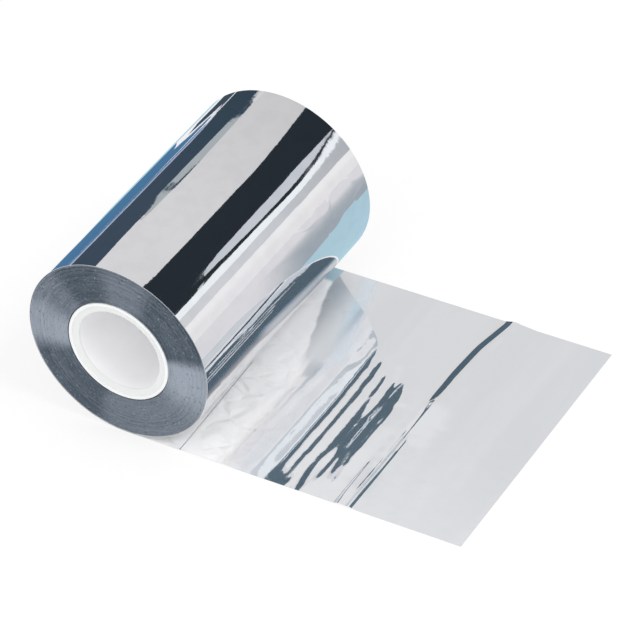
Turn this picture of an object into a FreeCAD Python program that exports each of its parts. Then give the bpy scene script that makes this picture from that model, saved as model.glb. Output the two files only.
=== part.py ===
import FreeCAD, Part
import math
import os

# A roll of aluminium foil tape that lies on its side, with the end of the strip pulled out flat in front of it.
# The strip is one piece from the core to its cut end, and it is wound on a moulded plastic tube.
# Millimetres. The roll's axis is Y, +X runs along the loose end, +Z is up and the origin is on the axis, mid-width.

# Strip
strip_width = 100.0
tape_thickness = 0.2
roll_radius = 32.5

# Core
bore_radius = 14.5
core_wall = 3.65
core_edge_bevel = 0.5
mouth_width = 0.8
mouth_depth = 1.2

# Wound turns, seen on the two ends of the roll
flush_depth = 0.8
turn_setback = 0.15
turn_pitch = 2.6
turn_band = 1.3
turn_margin = 0.4
hole_bevel = 0.3

# Loose end, stretch by stretch from where the strip leaves the roll
bonded_length = 3.0
flat_length = 14.0
lift_length = 32.0
before_ripples = 3.6
before_crease = 5.0
after_crease = 37.5

# Lifted edge on the near side
edge_lift = 0.7
edge_lift_depth = 16.0

# Ripples, side by side across the middle of the strip, each a little shorter than the one before
ripple_count = 5
ripple_spacing = 4.3
ripple_height = 0.55
ripple_crest = 0.9
ripple_near = -46.0
ripple_far = 26.0
ripple_shortening = 3.5
ripple_slant = 0.05

# Crease over the whole width, flat-topped on the near side and sharper where it bends away on the far side
crease_width = 5.0
crease_height = 1.15
crease_crest_near = 2.8
crease_crest_far = 0.6
crease_sweep = 3.6

# Distance between the sections that the loose end is lofted through
section_spacing = 10.0

core_radius = bore_radius + core_wall
table_height = -roll_radius
half_width = strip_width / 2


def point(x, z):
    """Point of the section across the roll."""
    return FreeCAD.Vector(x, 0, z)


def on_circle(centre, radius, degrees):
    """Point on a circle in the section, its angle measured from +X towards +Z."""
    angle = math.radians(degrees)
    return centre + point(radius * math.cos(angle), radius * math.sin(angle))


def arc(centre, radius, start, end):
    middle = (start + end) / 2
    ends = [on_circle(centre, radius, angle) for angle in (start, middle, end)]
    return Part.Arc(*ends).toShape()


def spiral(start_radius, growth, quarters, start=-90.0):
    """Quarter arcs round four centres, which grow by the same amount in every turn and meet smoothly.

    The first arc may start later than straight down. The centres come back to the axis after each turn.
    """
    step = growth / 4
    centre = point(0, 0)
    radius = start_radius
    edges = []
    for quarter in range(quarters):
        end = 90.0 * quarter
        edges.append(arc(centre, radius, start, end))
        centre = centre - on_circle(point(0, 0), step, end)
        radius += step
        start = end
    return edges


def ends(edges):
    """First and last point of a row of arcs."""
    return edges[0].Vertexes[0].Point, edges[-1].Vertexes[-1].Point


def across(face, width):
    """Extrude a section along the roll's axis, half to each side."""
    face.translate(FreeCAD.Vector(0, -width / 2, 0))
    return face.extrude(FreeCAD.Vector(0, width, 0))


def core():
    """Moulded tube: bevelled outer edges, flat ends, and a mouth that leads into the bore."""
    half_section = [
        (bore_radius, half_width - mouth_depth),
        (bore_radius + mouth_width, half_width),
        (core_radius - core_edge_bevel, half_width),
        (core_radius, half_width - core_edge_bevel),
    ]
    near_half = [(radius, -along) for radius, along in reversed(half_section)]
    corners = [FreeCAD.Vector(radius, along, 0) for radius, along in half_section + near_half]
    section = Part.makePolygon([*corners, corners[0]])
    return Part.Face(section).revolve(point(0, 0), FreeCAD.Vector(0, 1, 0), 360)


def outer_turn():
    """Outermost turn and the flat start of the loose end, as one section.

    The turn grows by one thickness on its way round, so that it comes down to the table exactly where
    the strip leaves it, and the turn below meets the top face of the loose end in a narrow wedge.
    The adhesive closes the thin end of that wedge.
    """
    inner_radius = roll_radius - tape_thickness
    wedge_start = math.degrees(math.asin(bonded_length / inner_radius)) - 90
    turn = spiral(inner_radius, tape_thickness, 4, wedge_start)
    wedge, leaving = ends(turn)
    top = table_height + tape_thickness
    flat = Part.makePolygon([
        leaving,
        point(flat_length, table_height),
        point(flat_length, top),
        point(bonded_length, top),
        wedge,
    ])
    outline = Part.Wire([*turn, *flat.Edges])
    hole = Part.Wire(Part.makeCircle(roll_radius - flush_depth, point(0, 0), FreeCAD.Vector(0, 1, 0)))
    return across(Part.Face([outline, hole], "Part::FaceMakerBullseye"), strip_width)


def wound_turns():
    """Turns between the core and the outermost ones, drawn in a little at both ends."""
    length = strip_width - 2 * turn_setback
    axis = FreeCAD.Vector(0, 1, 0)
    start = FreeCAD.Vector(0, -length / 2, 0)
    roll = Part.makeCylinder(roll_radius - flush_depth, length, start, axis)
    hole = Part.makeCylinder(core_radius, length, start, axis)
    bevel = Part.makeCone(core_radius + hole_bevel, core_radius, hole_bevel, start, axis)
    far_bevel = bevel.mirror(FreeCAD.Vector(0, 0, 0), axis)
    return roll.cut([hole, bevel, far_bevel])


def turn_band_face():
    """One spiral band of turns that stand proud of their neighbours, from the core to the outside."""
    inside = core_radius + hole_bevel + turn_margin
    room = roll_radius - flush_depth - turn_margin - turn_band - inside
    quarters = int(4 * room / turn_pitch)
    inner = spiral(inside, turn_pitch, quarters)
    outer = spiral(inside + turn_band, turn_pitch, quarters)
    inner_start, inner_end = ends(inner)
    outer_start, outer_end = ends(outer)
    caps = [Part.makeLine(inner_start, outer_start), Part.makeLine(inner_end, outer_end)]
    return Part.Face(Part.Wire(Part.__sortEdges__([*inner, *outer, *caps])))


def turn_bands():
    """The same spiral band at both ends of the roll."""
    bands = []
    for side in (-1, 1):
        band = turn_band_face()
        band.translate(FreeCAD.Vector(0, side * (half_width - turn_setback), 0))
        bands.append(band.extrude(FreeCAD.Vector(0, side * turn_setback, 0)))
    return bands


def swell(distance, reach):
    """Smooth hump, 1 in its middle and 0 from its reach outwards."""
    share = min(abs(distance) / reach, 1)
    return math.cos(share * math.pi / 2) ** 2


def lifted_edge(start, y):
    """Corners of the stretch beside the roll, where the near edge stands off the table."""
    lift = edge_lift * swell(y + half_width, edge_lift_depth)
    third = lift_length / 3
    return [(start, 0), (start + third, lift), (start + 2 * third, lift), (start + lift_length, 0)]


def ripples(start, y):
    """Corners of the ripples: a valley and the two sides of a crest for each, and the last valley."""
    corners = []
    for number in range(ripple_count):
        near = ripple_near + ripple_shortening * number
        far = ripple_far - ripple_shortening * number
        height = ripple_height * swell(y - (near + far) / 2, (far - near) / 2)
        valley = start + ripple_spacing * number - ripple_slant * y
        crest = valley + (ripple_spacing - ripple_crest) / 2
        corners += [(valley, 0), (crest, height), (crest + ripple_crest, height)]
    return [*corners, (start + ripple_spacing * ripple_count - ripple_slant * y, 0)]


def crease(start, y):
    """Corners of the crease: a foot, the two sides of its crest and the other foot."""
    foot = start + crease_sweep * (max(y, 0) / half_width) ** 2
    share = (y + half_width) / strip_width
    crest_width = crease_crest_near + (crease_crest_far - crease_crest_near) * share
    crest = foot + (crease_width - crest_width) / 2
    heights = (0, crease_height, crease_height, 0)
    return list(zip((foot, crest, crest + crest_width, foot + crease_width), heights))


def strip_section(y):
    """Section along the loose end at one place in its width, one thickness high all the way."""
    ripples_start = flat_length + lift_length + before_ripples
    crease_start = ripples_start + ripple_spacing * ripple_count + before_crease
    cut_end = crease_start + crease_width + after_crease
    corners = [*lifted_edge(flat_length, y), *ripples(ripples_start, y), *crease(crease_start, y)]
    under = [FreeCAD.Vector(x, y, table_height + height) for x, height in [*corners, (cut_end, 0)]]
    top = [corner + FreeCAD.Vector(0, 0, tape_thickness) for corner in reversed(under)]
    return Part.makePolygon([*under, *top, under[0]])


def loose_end():
    """The strip from its flat start to the cut end, as a ruled sheet that is folded along its waves."""
    count = math.ceil(strip_width / section_spacing)
    places = [strip_width * number / count - half_width for number in range(count + 1)]
    return Part.makeLoft([strip_section(y) for y in places], True, True)


def tape():
    return outer_turn().fuse([wound_turns(), *turn_bands(), loose_end()])


os.makedirs("parts", exist_ok=True)
for name, shape in {"core": core(), "tape": tape()}.items():
    solid = shape.Solids[0] if len(shape.Solids) == 1 else shape
    solid.exportStep(f"parts/{name}.step")
    print(name, len(shape.Solids), solid.isValid(), round(solid.Volume, 1), solid.BoundBox)
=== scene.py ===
import math
import random

import bmesh
import bpy
from mathutils import Matrix, Vector


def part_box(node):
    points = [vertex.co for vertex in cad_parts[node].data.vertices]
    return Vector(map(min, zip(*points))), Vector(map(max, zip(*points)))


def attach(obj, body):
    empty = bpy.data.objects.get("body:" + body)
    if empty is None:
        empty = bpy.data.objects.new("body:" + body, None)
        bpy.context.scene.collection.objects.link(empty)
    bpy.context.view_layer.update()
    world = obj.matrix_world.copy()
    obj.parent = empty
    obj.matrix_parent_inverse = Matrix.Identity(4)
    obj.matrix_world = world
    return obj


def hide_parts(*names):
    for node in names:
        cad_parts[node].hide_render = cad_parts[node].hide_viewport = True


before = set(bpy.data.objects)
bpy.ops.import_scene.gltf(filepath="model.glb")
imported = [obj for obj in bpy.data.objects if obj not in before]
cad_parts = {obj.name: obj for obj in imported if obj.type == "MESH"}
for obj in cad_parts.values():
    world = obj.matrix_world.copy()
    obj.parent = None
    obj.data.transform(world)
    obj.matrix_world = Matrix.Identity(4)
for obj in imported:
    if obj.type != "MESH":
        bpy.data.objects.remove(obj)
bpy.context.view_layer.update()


# ---- Core ----
# White moulded plastic tube that the strip is wound on. It is one piece with an open bore,
# softened edges, and a satin skin that shows faint flow marks from the mould.

MM = 0.001

_, core_high = (Vector(corner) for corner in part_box("core"))
core_radius = core_high.z
roll_end = core_high.y
round_steps = 192

# where the painted shade starts and where it is full: the darker recess from the outside in, the darker rim
# from the end
recess_shade_edges = (1.15 * MM, 1.35 * MM)
end_shade_edges = (1.4 * MM, 0.9 * MM)


class Value:
    """A shader socket that can be added, taken away, multiplied and divided like a number."""

    def __init__(self, finish, socket):
        self.finish = finish
        self.socket = socket

    def __add__(self, other):
        return self.finish.maths("ADD", self, other)

    def __sub__(self, other):
        return self.finish.maths("SUBTRACT", self, other)

    def __rsub__(self, other):
        return self.finish.maths("SUBTRACT", other, self)

    def __mul__(self, other):
        return self.finish.maths("MULTIPLY", self, other)

    def __truediv__(self, other):
        return self.finish.maths("DIVIDE", self, other)

    def __pow__(self, other):
        return self.finish.maths("POWER", self, other)

    __radd__ = __add__
    __rmul__ = __mul__


class Finish:
    """One material, with its shader's plain values set on the shader itself."""

    def __init__(self, name, plain_values):
        self.material = bpy.data.materials.new(name)
        self.material.use_nodes = True
        self.tree = self.material.node_tree
        self.shader = self.tree.nodes["Principled BSDF"]
        self.surface = self.tree.nodes["Material Output"]
        self.feed(self.shader, plain_values)

    def feed(self, node, sockets):
        for name, value in sockets.items():
            if isinstance(value, Value):
                self.tree.links.new(value.socket, node.inputs[name])
            else:
                node.inputs[name].default_value = value

    def node(self, kind, settings=None, sockets=None, output=0):
        """Add a node: its settings first, then its sockets. Gives one of its outputs."""
        node = self.tree.nodes.new("ShaderNode" + kind)
        for name, value in (settings or {}).items():
            setattr(node, name, value)
        self.feed(node, sockets or {})
        return Value(self, node.outputs[output])

    def maths(self, operation, first, second=0.0):
        return self.node("Math", {"operation": operation}, {0: first, 1: second})

    def between(self, value, low, high):
        """0 below low, 1 above high, smooth between them."""
        sockets = {"Value": value, "From Min": low, "From Max": high}
        return self.node("MapRange", {"interpolation_type": "SMOOTHSTEP"}, sockets)

    def mix(self, factor, first, second):
        """Blend two colours."""
        return self.node("Mix", {"data_type": "RGBA"}, {0: factor, 6: first, 7: second}, 2)

    def place(self):
        """Where a point is on the object, in metres."""
        return self.node("TexCoord", output="Object")

    def axes(self, vector):
        node = self.node("SeparateXYZ", None, {0: vector}).socket.node
        return [Value(self, output) for output in node.outputs]

    def stretched(self, scale):
        """The object's own coordinates, squeezed or stretched along each axis."""
        return self.node("VectorMath", {"operation": "MULTIPLY"}, {0: self.place(), 1: scale})

    def noise(self, vector, scale, detail=3.0, roughness=0.5):
        sockets = {"Vector": vector, "Scale": scale, "Detail": detail, "Roughness": roughness}
        return self.node("TexNoise", None, sockets)

    def bump(self, height, distance, below=None):
        sockets = {"Height": height, "Distance": distance}
        if below:
            sockets["Normal"] = below
        return self.node("Bump", None, sockets)


def colour(text):
    """A colour written as six hexadecimal digits, as a shader wants it."""
    levels = [int(text[place:place + 2], 16) / 255 for place in (0, 2, 4)]
    return (*(((level + 0.055) / 1.055) ** 2.4 if level > 0.04 else level / 12.92 for level in levels), 1)


def moulded_white():
    finish = Finish("moulded_white", {"IOR": 1.49})
    flow = finish.noise(finish.stretched((1, 0.15, 1)), 120, 4)
    specks = finish.noise(finish.place(), 2600, 2)
    clouds = finish.between(flow, 0.35, 0.7)
    x, y, z = finish.axes(finish.place())
    radius = (x * x + z * z) ** 0.5
    # painted shade: the end of the tube is a little darker, and the recess in its end darker still
    recess_painted_shade = finish.between(radius, *(core_radius - inward for inward in recess_shade_edges))
    end = finish.between(finish.maths("ABSOLUTE", y), *(roll_end - deep for deep in end_shade_edges))
    skin = finish.mix(clouds, colour("fafafb"), colour("f7f7f9"))
    rim_with_painted_shade = finish.mix(end, skin, colour("f2f3f4"))
    finish.feed(finish.shader, {
        "Base Color": finish.mix(recess_painted_shade * end, rim_with_painted_shade, colour("e6e8e7")),
        "Roughness": 0.38 + 0.12 * clouds,
        "Normal": finish.bump(specks, 0.004 * MM, finish.bump(flow, 0.03 * MM)),
    })
    return finish.material


def deselect():
    bpy.ops.object.select_all(action="DESELECT")


def edit(piece):
    """Open a piece in edit mode, with nothing selected."""
    bpy.context.view_layer.objects.active = piece
    bpy.ops.object.mode_set(mode="EDIT")
    bpy.ops.mesh.select_all(action="DESELECT")


def pick(piece, kind, wanted):
    """Select the vertices, edges or faces of the piece in hand for which wanted(element) is true."""
    mesh = bmesh.from_edit_mesh(piece.data)
    mesh.select_mode = {kind}
    elements = {"VERT": mesh.verts, "EDGE": mesh.edges, "FACE": mesh.faces}[kind]
    for element in elements:
        element.select_set(bool(wanted(element)))
    mesh.select_flush_mode()
    bmesh.update_edit_mesh(piece.data)


def leave_edit():
    bpy.ops.object.mode_set(mode="OBJECT")


def finish_with(piece, kind, **settings):
    """Add a modifier and apply it."""
    modifier = piece.modifiers.new(kind.title(), kind)
    for name, value in settings.items():
        setattr(modifier, name, value)
    bpy.context.view_layer.objects.active = piece
    bpy.ops.object.modifier_apply(modifier=modifier.name)


def settle(piece, name, *node_names):
    """Put a finished piece's place into its mesh, and let it stand for its CAD nodes."""
    deselect()
    piece.select_set(True)
    bpy.context.view_layer.objects.active = piece
    bpy.ops.object.transform_apply(location=True, rotation=True, scale=True)
    bpy.ops.object.shade_smooth_by_angle(angle=math.radians(35))
    piece.name = name
    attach(piece, "root")
    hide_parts(*node_names)
    deselect()


def turned(profile):
    """Extrude one point along a profile and its mirror image, and spin the outline about the roll's axis."""
    near_half = [(radius, -along) for radius, along in profile]
    section = near_half + profile[::-1]
    deselect()
    bpy.ops.mesh.primitive_plane_add(size=1)
    piece = bpy.context.object
    edit(piece)
    bpy.ops.mesh.select_all(action="SELECT")
    bpy.ops.mesh.merge(type="CENTER")
    place = Vector((0, 0, 0))
    for number, (radius, along) in enumerate(section):
        step = Vector((radius, along, 0)) - place
        if number:
            bpy.ops.mesh.extrude_vertices_move(TRANSFORM_OT_translate={"value": step})
        else:
            bpy.ops.transform.translate(value=step)
        place += step
    bpy.ops.mesh.select_all(action="SELECT")
    bpy.ops.mesh.edge_face_add()
    bpy.ops.mesh.delete(type="ONLY_FACE")
    bpy.ops.mesh.select_all(action="SELECT")
    bpy.ops.mesh.spin(steps=round_steps, angle=math.tau, center=(0, 0, 0), axis=(0, 1, 0))
    bpy.ops.mesh.select_all(action="SELECT")
    bpy.ops.mesh.remove_doubles(threshold=0.002 * MM)
    bpy.ops.mesh.normals_make_consistent(inside=False)
    leave_edit()
    return piece


rim_steps = [
    # radius in from the outside, depth below the end, in mm. The last one is the wall of the open bore
    (0, 0.7), (0, 0.45), (0.06, 0.22), (0.2, 0.06), (0.42, 0), (0.95, 0), (1.1, 0.04), (1.2, 0.16),
    (1.24, 0.32), (1.34, 0.4), (2.9, 0.5), (3.15, 0.53), (3.38, 0.62), (3.55, 0.8), (3.65, 1.15),
]


def core_tube():
    tube = turned([(core_radius - inward * MM, roll_end - deep * MM) for inward, deep in rim_steps])
    tube.data.materials.append(moulded_white())
    settle(tube, "core_tube", "core")
    return tube


core_tube()


# ---- Wound turns ----
# Everything between the core and the outermost turn: the same strip, wound tight, seen only by its two
# slit edges. Foil and adhesive show as fine rings, some turns standing a few hundredths proud.

tape_low, tape_high = (Vector(corner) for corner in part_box("tape"))
roll_radius = -tape_low.z
turn_step = 0.2 * MM
band_width = 0.32 * MM
edge_setback = 0.12 * MM
core_gap = 0.22 * MM
slack = 0.1 * MM
slack_angle = math.radians(65)
step_edge = 0.04 * MM
turns_random = random.Random(4)


def slit_edges():
    """Edges of the turns: dark grey metal and adhesive in short broken arcs, brushed by the knife, with
    painted highlights in broad sectors round the roll.
    """
    finish = Finish("slit_edges", {"Metallic": 0.75})
    x, _, z = finish.axes(finish.place())
    radius = (x * x + z * z) ** 0.5
    angle = finish.maths("ARCTAN2", z, x)
    seam_free = [finish.maths(wave, angle) for wave in ("COSINE", "SINE")]

    def rings(per_mm, along, scale, detail):
        spot = finish.node("CombineXYZ", None, {
            "X": radius * per_mm / MM, "Y": seam_free[0] * along, "Z": seam_free[1] * along,
        })
        return finish.noise(spot, scale, detail, 0.6)

    fine = rings(5.0, 6.0, 1.0, 4)
    arcs = rings(2.2, 22.0, 1.0, 3)
    broad = rings(0.25, 1.3, 1.0, 2)
    flecks = finish.between(rings(1.5, 34.0, 1.0, 3), 0.6, 0.72)
    pits = finish.between(rings(1.3, 28.0, 1.0, 3), 0.4, 0.31)

    # painted highlight: the colour is lighter in broad sectors round the roll, where the ringed edges would
    # catch the light, with the rings' grain added on top
    turn = angle * math.degrees(1)

    def painted_highlight_sector(start, full, hold, stop):
        return finish.between(turn, start, full) * finish.between(turn, stop, hold)

    painted_sheen_and_grain = 0.08
    for strength, *angles in ((0.3, -115, -101, 4, 15), (0.6, -45, -9, 3, 14), (0.32, 54, 71, 87, 103)):
        painted_sheen_and_grain = painted_sheen_and_grain + strength * painted_highlight_sector(*angles)
    for strength, start, full in ((0.3, 124, 138), (0.5, 148, 170), (0.8, -160, -176)):
        painted_sheen_and_grain = painted_sheen_and_grain + strength * finish.between(turn, start, full)
    painted_sheen_and_grain = painted_sheen_and_grain + 0.6 * (fine - 0.5) + 0.6 * (arcs - 0.5) + 0.35 * (broad - 0.5)
    tone = finish.mix(painted_sheen_and_grain, colour("45525e"), colour("9fa8b4"))
    tone = finish.mix(pits * 0.75, tone, colour("39424c"))
    outer = finish.between(radius, roll_radius - 0.75 * MM, roll_radius - 0.55 * MM)
    finish.feed(finish.shader, {
        "Base Color": finish.mix(finish.maths("MAXIMUM", flecks * 0.5, outer * 0.35), tone, colour("c3c9d2")),
        "Roughness": 0.3 + 0.25 * arcs,
        "Normal": finish.bump(fine, 0.06 * MM, finish.bump(arcs, 0.05 * MM)),
    })
    return finish.material


def ring_profile():
    """Radius and depth of each step of a slit end, from the hole to the outermost turn."""
    steps = []
    radius = core_radius + core_gap
    outside = roll_radius - 2 * turn_step
    while radius < outside:
        depth = turns_random.triangular(0, edge_setback, edge_setback * 0.25)
        width = band_width * turns_random.uniform(0.5, 1.6)
        end = min(radius + width, outside)
        steps += [(radius, depth), (end - step_edge, depth)]
        radius = end
    return steps


def wound_turns():
    turns = turned([(radius, roll_end - depth) for radius, depth in ring_profile()])

    # the hole sits a little off the core's middle, so the gap between the two is a thin crescent
    hole = core_radius + core_gap + 0.01 * MM
    edit(turns)
    pick(turns, "VERT", lambda vertex: math.hypot(vertex.co.x, vertex.co.z) < hole)
    bpy.ops.transform.translate(value=(slack * math.cos(slack_angle), 0, slack * math.sin(slack_angle)))
    leave_edit()
    turns.data.materials.append(slit_edges())
    settle(turns, "wound_turns", "tape")
    return turns


wound_turns()


# ---- Strip ----
# The outermost turn and the loose end, one sheet of soft bright foil. It comes off the bottom of the roll
# and lies on the table, adhesive side up, with ripples and a crease from being pulled out and handled.

table = tape_low.z
cut_end = tape_high.x
foil_thickness = 0.12 * MM
arc_steps = 45
rows = 100
highest_fold = table / MM + 6
bonded_length = 3 * MM


def bright_foil(name, dent):
    """Rolled aluminium: a mirror with a faint swell and soft dents, dulled here and there by scuffs."""
    finish = Finish(name, {"Metallic": 1.0})
    swell = finish.noise(finish.stretched((1, 0.6, 1)), 60, 2)
    dents = finish.noise(finish.stretched((1, 0.8, 1)), 210, 3)
    scuffs = finish.noise(finish.stretched((1, 0.12, 1)), 900, 4)
    relief = finish.bump(dents, dent, finish.bump(swell, 0.05 * MM))
    finish.feed(finish.shader, {
        "Roughness": 0.03 + 0.05 * finish.between(scuffs, 0.5, 0.8),
        "Normal": relief,
    })
    return finish, relief, dents


def foil_face():
    """The bright side, which the roll shows, with a few soft knocks low down towards the far end."""
    finish, relief, dents = bright_foil("foil_face", 0.012 * MM)
    x, y, z = finish.axes(finish.place())
    knocks = finish.noise(finish.stretched((1, 0.55, 1)), 105, 1, 0.5)
    low_down = finish.between(z, 0.0, 0.006) * finish.between(z, 0.021, 0.013)
    low_down = low_down * finish.between(x, 0.02, 0.026) * finish.between(y, 0.004, 0.02)
    ridge = finish.between(finish.maths("ABSOLUTE", knocks - 0.5), 0.06, 0.0)
    finish.feed(finish.shader, {
        "Base Color": finish.mix(finish.between(dents, 0.4, 0.7), colour("e9e9ec"), colour("e5e5e9")),
        "Normal": finish.bump(ridge * low_down, 0.035 * MM, relief),
    })
    return finish.material


def adhesive_side():
    """The foil under clear adhesive: a thin grey veil, with painted shade beside the roll, cloudy white and
    crumpled where it was peeled last.
    """
    finish, relief, _ = bright_foil("adhesive_side", 0.024 * MM)
    x, y, _ = finish.axes(finish.place())
    slant = x + 0.273 * finish.maths("MAXIMUM", y, -0.002)
    blots = finish.noise(finish.stretched((1, 0.6, 1)), 120, 3)
    bands = finish.noise(finish.stretched((1, 0.12, 1)), 75, 2)
    far_half = finish.between(y, 0.0, 0.012)

    # the cloudy white next to the roll, with one thin crack in it, and the bluish haze at its edge
    cloud = finish.between(slant + 0.004 * (blots - 0.5), 0.036 - 0.003 * far_half, 0.0317)
    cloud = cloud * (0.86 + 0.14 * finish.between(blots, 0.3, 0.5))
    crack = finish.between(finish.maths("ABSOLUTE", x + 0.0345 * y - 0.01755), 0.0001, 0.0003)
    cloud = cloud * finish.maths("MAXIMUM", crack, finish.between(y, -0.006, -0.002))
    haze = finish.between(slant - 0.005 * far_half, 0.045, 0.034)

    # wrinkles between cells of adhesive that came off unevenly
    cells = finish.node("TexVoronoi", {"feature": "DISTANCE_TO_EDGE"}, {
        "Vector": finish.stretched((1, 1.6, 1)), "Scale": 95.0, "Randomness": 1.0,
    })
    worn = finish.between(finish.noise(finish.stretched((1, 0.7, 1)), 55, 2), 0.42, 0.6)
    worn = worn * (0.4 + 0.6 * finish.between(y, 0.0, -0.02))
    crumple = finish.bump(1.0 - worn * finish.between(cells, 0.2, 0.0), 0.5 * MM, relief)

    # the veil's colour, with painted shade where it is darker beside the roll, and a painted reflection of
    # pale blue at the far end of the nip
    beyond = finish.between(x + 1.2 * y, 0.0765, 0.0778)
    away = finish.maths("MAXIMUM", finish.between(x, 0.022, 0.034), beyond)
    light = finish.mix(far_half, colour("ececed"), colour("dcdee1"))
    tint = finish.mix(haze, (0.52, 0.76, 0.96, 1), finish.mix(away, colour("a8aeb6"), light))
    # painted reflection: pale blue at the far end of the nip
    painted_blue_reflection = finish.between(y, 0.0425, 0.0445) * finish.between(x + 0.002 * blots, 0.0222, 0.0212)
    bloom = finish.mix(painted_blue_reflection, finish.mix(cloud, tint, (0.96, 0.965, 0.97, 1)), colour("a3c3d0"))

    # it is thinner where the crease has stretched it
    fold_line = finish.maths("ABSOLUTE", x - 0.0783 - 0.1 * finish.maths("MAXIMUM", y - 0.02, 0.0))
    thin = finish.between(fold_line, 0.0035, 0.0015) * finish.between(y, 0.0, 0.005)
    cover = 0.15 + 0.015 * finish.between(bands, 0.35, 0.65) - 0.07 * thin + 0.76 * cloud
    cover = cover + haze * (1.0 - cloud) * (0.32 + 0.43 * far_half)

    finish.feed(finish.shader, {
        "Base Color": finish.mix(finish.between(bands, 0.4, 0.62), colour("fdf9f7"), colour("f9f5f3")),
    })
    veil = finish.node("BsdfPrincipled", None, {
        "Base Color": bloom, "Roughness": 0.9, "Specular IOR Level": 0.0, "Normal": crumple,
    })
    mixed = finish.node("MixShader", None, {"Fac": cover, 2: veil})
    finish.tree.links.new(finish.shader.outputs[0], mixed.socket.node.inputs[1])
    finish.tree.links.new(mixed.socket, finish.surface.inputs["Surface"])
    return finish.material


def stretch_edges(sheet, low, high, cuts):
    """Cut the sheet across between two places along it, into evenly spaced rows."""
    def along_stretch(edge):
        first, second = sorted(vertex.co.x for vertex in edge.verts)
        return second - first > 0.5 * MM and first > low - 0.01 * MM and second < high + 0.01 * MM

    pick(sheet, "EDGE", along_stretch)
    bpy.ops.mesh.subdivide(number_cuts=cuts)


def across(path, y):
    """Where a line given by a few points is, at a place across the strip. Nothing beyond its ends."""
    for (x0, y0), (x1, y1) in zip(path, path[1:]):
        if y0 <= y <= y1:
            return x0 + (x1 - x0) * (y - y0) / (y1 - y0)
    return None


def push_up(height, reach):
    """Raise the selected vertices by a height in mm, and what lies within reach of them by less and less."""
    bpy.ops.transform.translate(
        value=(0, 0, height * MM), use_proportional_edit=True, proportional_edit_falloff="SMOOTH",
        proportional_size=reach * MM, use_proportional_connected=False, use_proportional_projected=False,
    )


def fold(sheet, path, height, reach, fade):
    """Push up a soft fold along a line across the loose end, fading towards both of its ends."""
    passes = 4
    edge = 49
    half_line = 0.3
    near, far = path[0][1], path[-1][1]
    for number in range(passes):
        margin = fade * number / passes
        low = near + margin if near > -edge else near - 1
        high = far - margin if far < edge else far + 1

        def near_line(vertex):
            x, y, z = vertex.co / MM
            line = across(path, y) if low <= y <= high else None
            return line is not None and abs(x - line) < half_line and z < highest_fold

        pick(sheet, "VERT", near_line)
        push_up(height / passes, reach)


# from and to along the loose end, in mm, and how many cuts across each stretch gets
stretches = ((0, 14, 13), (14, 44, 39), (44, 74, 89), (74, 86, 47), (86, cut_end / MM, 32))
leaning = ((-0.4, -46), (-0.1, -30), (0.05, -17), (0, -5), (-0.5, 7), (-0.9, 15), (-1.2, 24))
ripple_fade = 8
ripples = [
    # place along the loose end, reach and height, in mm, and the line it follows across the strip. Most of
    # these numbers are the rounded result of a search for where the foil mirrors the dark card
    (49.6, 4.2, 0.016, leaning), (51.4, 4.8, 0.152, leaning), (54.9, 4.9, -0.021, leaning),
    (56.8, 2.4, 0.104, leaning), (58.5, 4.3, -0.101, leaning),
    (63.5, 2.1, -0.1, ((-0.4, -46), (-0.2, -30))), (63.5, 2.1, -0.1, ((0, -11), (-1.2, 7), (-2.2, 15))),
    (67.0, 4.7, 0.281, ((0, -34), (0, -7))), (71.2, 3.9, 0.223, ((0, -34), (0, -7))),
    (60.0, 3.1, -0.03, ((0, -34), (0, -7))), (66.0, 1.0, 0.019, ((0, -29), (0, 8))),
    (65.2, 4.9, 0.071, ((0.9, -48), (0.87, -42), (0.1, -34), (0, -26), (0, -10), (1.06, 4), (1.06, 14))),
    (66.5, 5.0, -0.056, ((0.6, -48), (0.62, -42), (-0.3, -34), (0, -26), (0, 14))),
    (68.9, 4.7, 0.137, ((-0.4, -48), (-0.38, -42), (0.2, -34), (0, -26), (0, -10), (-0.2, 4), (-0.2, 14))),
    (70.3, 4.8, 0.278, ((0.56, -48), (0.56, -42), (0.1, -34), (0, -26), (0, -10), (-1.28, 4), (-1.28, 14))),
    (73.6, 5.5, 0.4, ((0.7, -48), (0.69, -42), (0.4, -34), (0, -26), (0, -10), (-0.5, 4), (-0.5, 14))),
    (64.0, 5.5, 0.15, ((0, -50), (0, -40))),
    (57.0, 1.4, 0.03, ((0, -50), (1.5, -42))), (60.8, 1.5, -0.03, ((0, -50), (-1.0, -41))),
    (38.0, 3.6, 0.1, ((-0.8, -30), (0.3, -10), (2, 4))), (45.5, 4.2, 0.12, ((-0.5, -46), (0.5, 12))),
]
folds = [
    ([(place + shift, y) for shift, y in line], height, reach, ripple_fade)
    for place, reach, height, line in ripples
]
folds += [
    # a line across the loose end, the fold's height and reach, and how far its ends take to fade
    ([(78.5, -50), (78.5, -36)], 0.4, 6.0, 12),
    ([(75.9, -50), (75.9, -10)], 0.24, 1.2, 26),
    ([(77.2, -50), (77.2, 10)], 0.2, 1.3, 12),
    ([(79.6, -50), (79.6, -2)], 0.34, 1.2, 26),
    ([(80.1, -9), (80.0, 8), (80.2, 20), (81.0, 34), (84.0, 50)], 0.8, 3.2, 14),
    ([(83.6, -13), (83.6, 8), (83.8, 20), (84.6, 34), (87.5, 50)], 0.62, 4.8, 20),
]


def lift(sheet):
    """Raise the near edge of the loose end off the table where it leaves the roll."""
    near_edge, start, stop = -49.5, 24, 34
    height, reach = 0.45, 8

    def on_edge(vertex):
        x, y, z = vertex.co / MM
        return y < near_edge and start < x < stop and z < highest_fold

    pick(sheet, "VERT", on_edge)
    push_up(height, reach)


def soften(sheet, low, high, near, far, repeat, level=True):
    """Even out the sheet between two places along it and two across it, in mm. Not level: in height only."""
    def inside(vertex):
        return low * MM < vertex.co.x < high * MM and near * MM < vertex.co.y < far * MM

    pick(sheet, "VERT", inside)
    bpy.ops.mesh.vertices_smooth(factor=0.5, repeat=repeat, xaxis=level, yaxis=level, zaxis=True)


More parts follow.
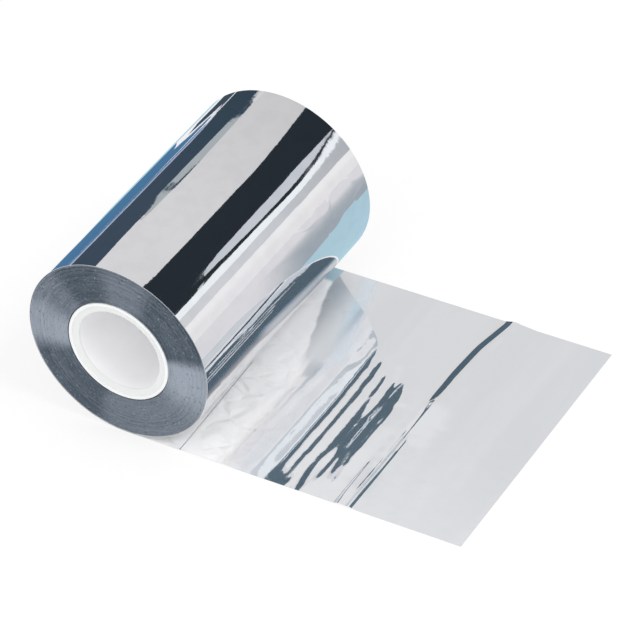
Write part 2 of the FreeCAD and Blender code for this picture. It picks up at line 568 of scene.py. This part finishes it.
def strip():
    deselect()
    bpy.ops.mesh.primitive_plane_add(size=1)
    sheet = bpy.context.object
    first = stretches[0][1] * MM
    sheet.scale = (first, 2 * roll_end, 1)
    sheet.location = (first / 2, 0, table)
    bpy.ops.object.transform_apply(location=True, scale=True)
    edit(sheet)
    for low, high, _ in stretches[1:]:
        pick(sheet, "EDGE", lambda edge: all(v.co.x > low * MM - 0.01 * MM for v in edge.verts))
        bpy.ops.mesh.extrude_edges_move(TRANSFORM_OT_translate={"value": ((high - low) * MM, 0, 0)})
    for low, high, cuts in stretches:
        stretch_edges(sheet, low * MM, high * MM, cuts)
    pick(sheet, "EDGE", lambda edge: abs(edge.verts[0].co.y - edge.verts[1].co.y) > roll_end)
    bpy.ops.mesh.subdivide(number_cuts=rows - 1)
    for path, height, reach, fade in folds:
        fold(sheet, path, height, reach, fade)

    # the ripples lightly, then the far part of the crease well, up to the edge of the strip in height alone
    inner = roll_end / MM - 0.5
    soften(sheet, 46, 92, -inner, inner, 1)
    soften(sheet, 76, 91, -6, inner, 14)
    soften(sheet, 76, 91, inner - 1, math.inf, 30, level=False)
    lift(sheet)

    # outermost turn: a quarter at a time round four centres, from the bottom back over the top to the nip
    step = turn_step / 4
    wedge = math.asin(bonded_length / (roll_radius - turn_step))
    centres = ((0, -step), (-step, -step), (-step, 0), (0, 0))
    pick(sheet, "EDGE", lambda edge: all(abs(v.co.x) < 0.001 * MM for v in edge.verts))
    for number, (x, z) in enumerate(centres):
        quarter = math.pi / 2 - (wedge if number == 3 else 0)
        bpy.ops.mesh.spin(steps=arc_steps, angle=-quarter, center=(x, 0, z), axis=(0, 1, 0))
    bpy.ops.mesh.select_all(action="SELECT")
    bpy.ops.mesh.normals_make_consistent(inside=False)
    leave_edit()
    return sheet


sheet = strip()
sheet.data.materials.append(foil_face())
sheet.data.materials.append(adhesive_side())
finish_with(sheet, "SOLIDIFY", thickness=foil_thickness, offset=-1, material_offset=1)
settle(sheet, "strip", "tape")


# ---- Table, flags and camera ----
# Not part of the roll. It lies on white paper, among curved and flat cards that only its mirror finish
# shows, as in a product studio. Soft lamps light the rest, and the camera looks down past the near end.

card_loss = 0.84


def glow(name, tint, other, blend):
    """A card's plain light, a little brighter than its tint, for what the foil loses. blend says how far
    its colour has run to the other tint, from the card's coordinates."""
    finish = Finish(name, {"Base Color": (0, 0, 0, 1), "Specular IOR Level": 0.0, "Emission Strength": 1.0})
    levels = [(*[channel / card_loss for channel in colour(text)[:3]], 1) for text in (tint, other)]
    light = finish.mix(blend(finish, *finish.axes(finish.place())), *levels)
    finish.feed(finish.shader, {"Emission Color": light})
    return finish.material


def back_blend(finish, x, y, z):
    return finish.between(y, 0.8, 0.97)


def up_blend(finish, x, y, z):
    return finish.between(z, 0.1, 0.25)


def out_blend(finish, x, y, z):
    """Grey next to the far end of the roll, light farther out and nearer."""
    return finish.maths("MAXIMUM", finish.between(y - 0.85 * x, 0.0, -0.04), finish.between(x, 0.085, 0.26))


def only_in_reflections(piece):
    for ray in ("camera", "diffuse", "shadow", "transmission"):
        setattr(piece, "visible_" + ray, False)


def card(name, points, faces, tint, other, blend):
    """A thin glowing sheet. Its tint may run to another one."""
    mesh = bpy.data.meshes.new(name)
    mesh.from_pydata(points, [], faces)
    mesh.materials.append(glow(name, tint, other or tint, blend))
    piece = bpy.data.objects.new(name, mesh)
    bpy.context.collection.objects.link(piece)
    only_in_reflections(piece)


def flag(name, tint, radius, rows, other=None, blend=back_blend):
    """A card bent round the roll's axis, at a radius in metres, so that a smaller one hides a larger one.
    Each row is a distance along the axis, in metres, and two angles round it."""
    steps = 10
    points = []
    for along, low, high in rows:
        for number in range(steps + 1):
            angle = math.radians(low + (high - low) * number / steps)
            points.append((radius * math.cos(angle), along, radius * math.sin(angle)))
    faces = []
    for row in range(len(rows) - 1):
        for first in range(row * (steps + 1), row * (steps + 1) + steps):
            faces.append((first, first + 1, first + steps + 2, first + steps + 1))
    card(name, points, faces, tint, other, blend)


def board(name, tint, height, corners, other=None, blend=back_blend):
    """A card lying a little above the table: its height over it and its corners, in mm."""
    points = [(x * MM, y * MM, table + height * MM) for x, y in corners]
    card(name, points, [range(len(corners))], tint, other, blend)


# most of the bent cards' rows, and the corners of blue_board and dark_board, were worked out by a script from
# where the foil should mirror them, and then rounded
flag("black_flag", "262d33", 0.35, [
    (0.07, 59, 66), (0.21, 35.9, 81.3), (0.223, 35.9, 77.6), (0.232, 38.8, 76.6), (0.237, 45.6, 76.4),
    (0.25, 47.5, 77.4), (0.278, 48.0, 77.1), (0.296, 48.0, 79.1), (0.307, 48.0, 80.2), (0.323, 53.4, 82.4),
    (0.339, 61.8, 85.0), (0.345, 69.1, 86.8), (0.352, 36, 87), (0.37, 36, 87), (0.5, 59, 66),
])
flag("black_line", "262d33", 0.35, [
    (0.2315, 35.9, 41.7), (0.246, 36.9, 41.0), (0.255, 36.2, 40.0), (0.278, 35.4, 38.3), (0.305, 34.2, 38.1),
    (0.323, 36.6, 40.5), (0.336, 41.2, 44.0), (0.345, 45.6, 48.5), (0.352, 48, 51),
])
flag("back_flag", "262d33", 1.0, [
    (-1.2, 59, 66), (0.3, 59, 66), (0.62, 48.5, 80), (1.05, 48.5, 80), (1.3, 57, 68), (3, 59, 66),
])
flag("wedge", "c6cacf", 1.0, [(-1.2, 35, 48.5), (3, 35, 48.5)])
flag("white_line", "eef3f4", 0.99, [
    (-1.2, 28.3, 36), (0.741, 28.3, 36), (0.845, 27.8, 35.5), (0.887, 27.6, 34.5), (0.915, 30.1, 36.5),
    (0.936, 33.8, 41.5), (0.95, 38.3, 46), (0.97, 40, 48), (3, 40, 48),
])
flag("grey_card", "cfd1d3", 1.01, [(-1.2, 18, 29), (3, 18, 41)], "b2b6b9")
flag("pale_card", "e5e4e3", 1.01, [(-1.2, -4, 18), (3, -4, 18)], "ededec", up_blend)
flag("light_card", "d6d5d5", 1.02, [(-1.2, 75, 142), (3, 75, 142)], "cbcaca")
flag("slate_flag", "3c4a58", 1.0, [
    (-1.2, 154, 160), (0.3, 154, 160), (0.7, 142.2, 176.0), (0.74, 142.2, 176.0), (0.775, 144.0, 176.2),
    (0.806, 143.5, 176.4), (0.822, 150.0, 176.4), (0.844, 150.0, 176.5), (0.886, 150, 176.0),
    (0.907, 150.0, 178), (0.917, 143.5, 179.7), (0.921, 141.0, 200), (0.933, 143.0, 202),
    (0.945, 151.5, 203), (0.955, 142, 203), (3, 142, 203),
], "33434f")
flag("grey_patch", "a8b0b2", 1.005, [
    (0.80, 140, 144), (0.826, 139, 151), (0.86, 138.5, 151), (0.915, 141, 151), (0.925, 143, 150),
])
flag("tongue", "3c4a58", 0.995, [
    (0.824, 139, 151), (0.827, 139.5, 151), (0.829, 138.5, 142), (0.85, 138.6, 140.4), (0.857, 138.5, 139),
])
flag("lavender_line", "aab0c8", 1.0, [
    (-1.2, 176, 179.2), (0.74, 176, 179.2), (0.886, 176, 179), (0.907, 178, 180), (0.917, 179.7, 181),
])
flag("blue_card", "4a7498", 1.005, [(-1.2, 179, 182), (0.739, 179, 182), (0.86, 179, 182), (0.91, 179, 182)])

board("light_board", "9ea7ad", 0.05, [
    (60, 50.8), (119.5, 50.8), (119.5, -60), (1600, -60), (1600, 1600), (-60, 1600), (-60, 300),
], "dbdadc", out_blend)
board("near_blue_board", "abc9d5", 0.15, [
    (-108, 50.8), (69, 50.8), (70.6, 64), (76, 82), (81, 99), (86, 140), (-108, 140),
])
board("blue_board", "4a7498", 0.1, [
    (-960, -400), (-960, 800), (-624, 581), (-398, 380), (-189, 174), (-142, 138), (-108, 113), (-108, -400),
])
board("dark_board", "3c4a58", 0.1, [
    (-640, 600), (-398, 392), (-189, 184), (-142, 153), (-142, 300), (-700, 1000),
])

bpy.ops.mesh.primitive_plane_add(size=8, location=(0, 0, table))
floor = bpy.context.object
floor.name = "floor"
paper = Finish("paper", {"Base Color": (1, 1, 1, 1), "Roughness": 0.9, "Specular IOR Level": 0.0})
camera_ray, glossy_ray, clear_ray = (
    paper.node("LightPath", output=f"Is {kind} Ray") for kind in ("Camera", "Glossy", "Transmission")
)
seen = paper.maths("MAXIMUM", camera_ray, paper.maths("MAXIMUM", glossy_ray, clear_ray))
white = paper.node("Emission", None, {"Color": (1, 1, 1, 1), "Strength": 1.0})
paper_whiteness = 0.7
sheet_of_paper = paper.node("MixShader", None, {0: paper_whiteness * seen, 2: white})
paper.tree.links.new(paper.shader.outputs[0], sheet_of_paper.socket.node.inputs[1])
paper.tree.links.new(sheet_of_paper.socket, paper.surface.inputs["Surface"])
floor.data.materials.append(paper.material)

room = bpy.data.worlds.new("room")
bpy.context.scene.world = room
room.use_nodes = True
room.node_tree.nodes["Background"].inputs[0].default_value = (1, 1, 1, 1)
room.node_tree.nodes["Background"].inputs[1].default_value = 0.8


def lamp(place, power, size, kind="AREA", away=None):
    """A lamp that the foil doesn't show. It shines against the direction of away, or of its own place."""
    facing = Vector(away or place).to_track_quat("Z", "Y").to_euler()
    bpy.ops.object.light_add(type=kind, location=place, rotation=facing)
    light = bpy.context.object
    light.data.energy = power
    setattr(light.data, "size" if kind == "AREA" else "shadow_soft_size", size)
    light.visible_glossy = False
    return light.data


lamp((0.85, -0.1, 1.1), 5.4, 0.5)
lamp((0.15, -0.9, 0.9), 1.2, 0.4)
lamp((-0.6, -0.8, 0.45), 1.0, 0.3)

# a narrow soft beam from behind, down the middle of the core
beam = lamp((0.09, 0.65, 0.09), 42, 0.02, "SPOT", away=(0.09, 0.6, 0.09))
beam.spot_size = math.radians(2.7)
beam.spot_blend = 0.7

# the camera's angles, distance, aim and lens come from a fit by least squares
view_turn, view_drop, view_roll = math.radians(32.97), math.radians(39.051), math.radians(-4.4)
view_distance = 1.18927
aim = Vector((0.04227, 0, -0.00884))
level = math.cos(view_drop)
back = Vector((math.sin(view_turn) * level, -math.cos(view_turn) * level, math.sin(view_drop)))
turn = Matrix.Rotation(view_turn, 4, "Z") @ Matrix.Rotation(math.pi / 2 - view_drop, 4, "X")
turn = turn @ Matrix.Rotation(view_roll, 4, "Z")
bpy.ops.object.camera_add(location=aim + back * view_distance, rotation=turn.to_euler())
camera = bpy.context.object
camera.data.lens = 214.1
camera.data.sensor_width = 36
camera.data.clip_end = 20
bpy.context.scene.camera = camera
bpy.context.scene.view_settings.view_transform = "Standard"
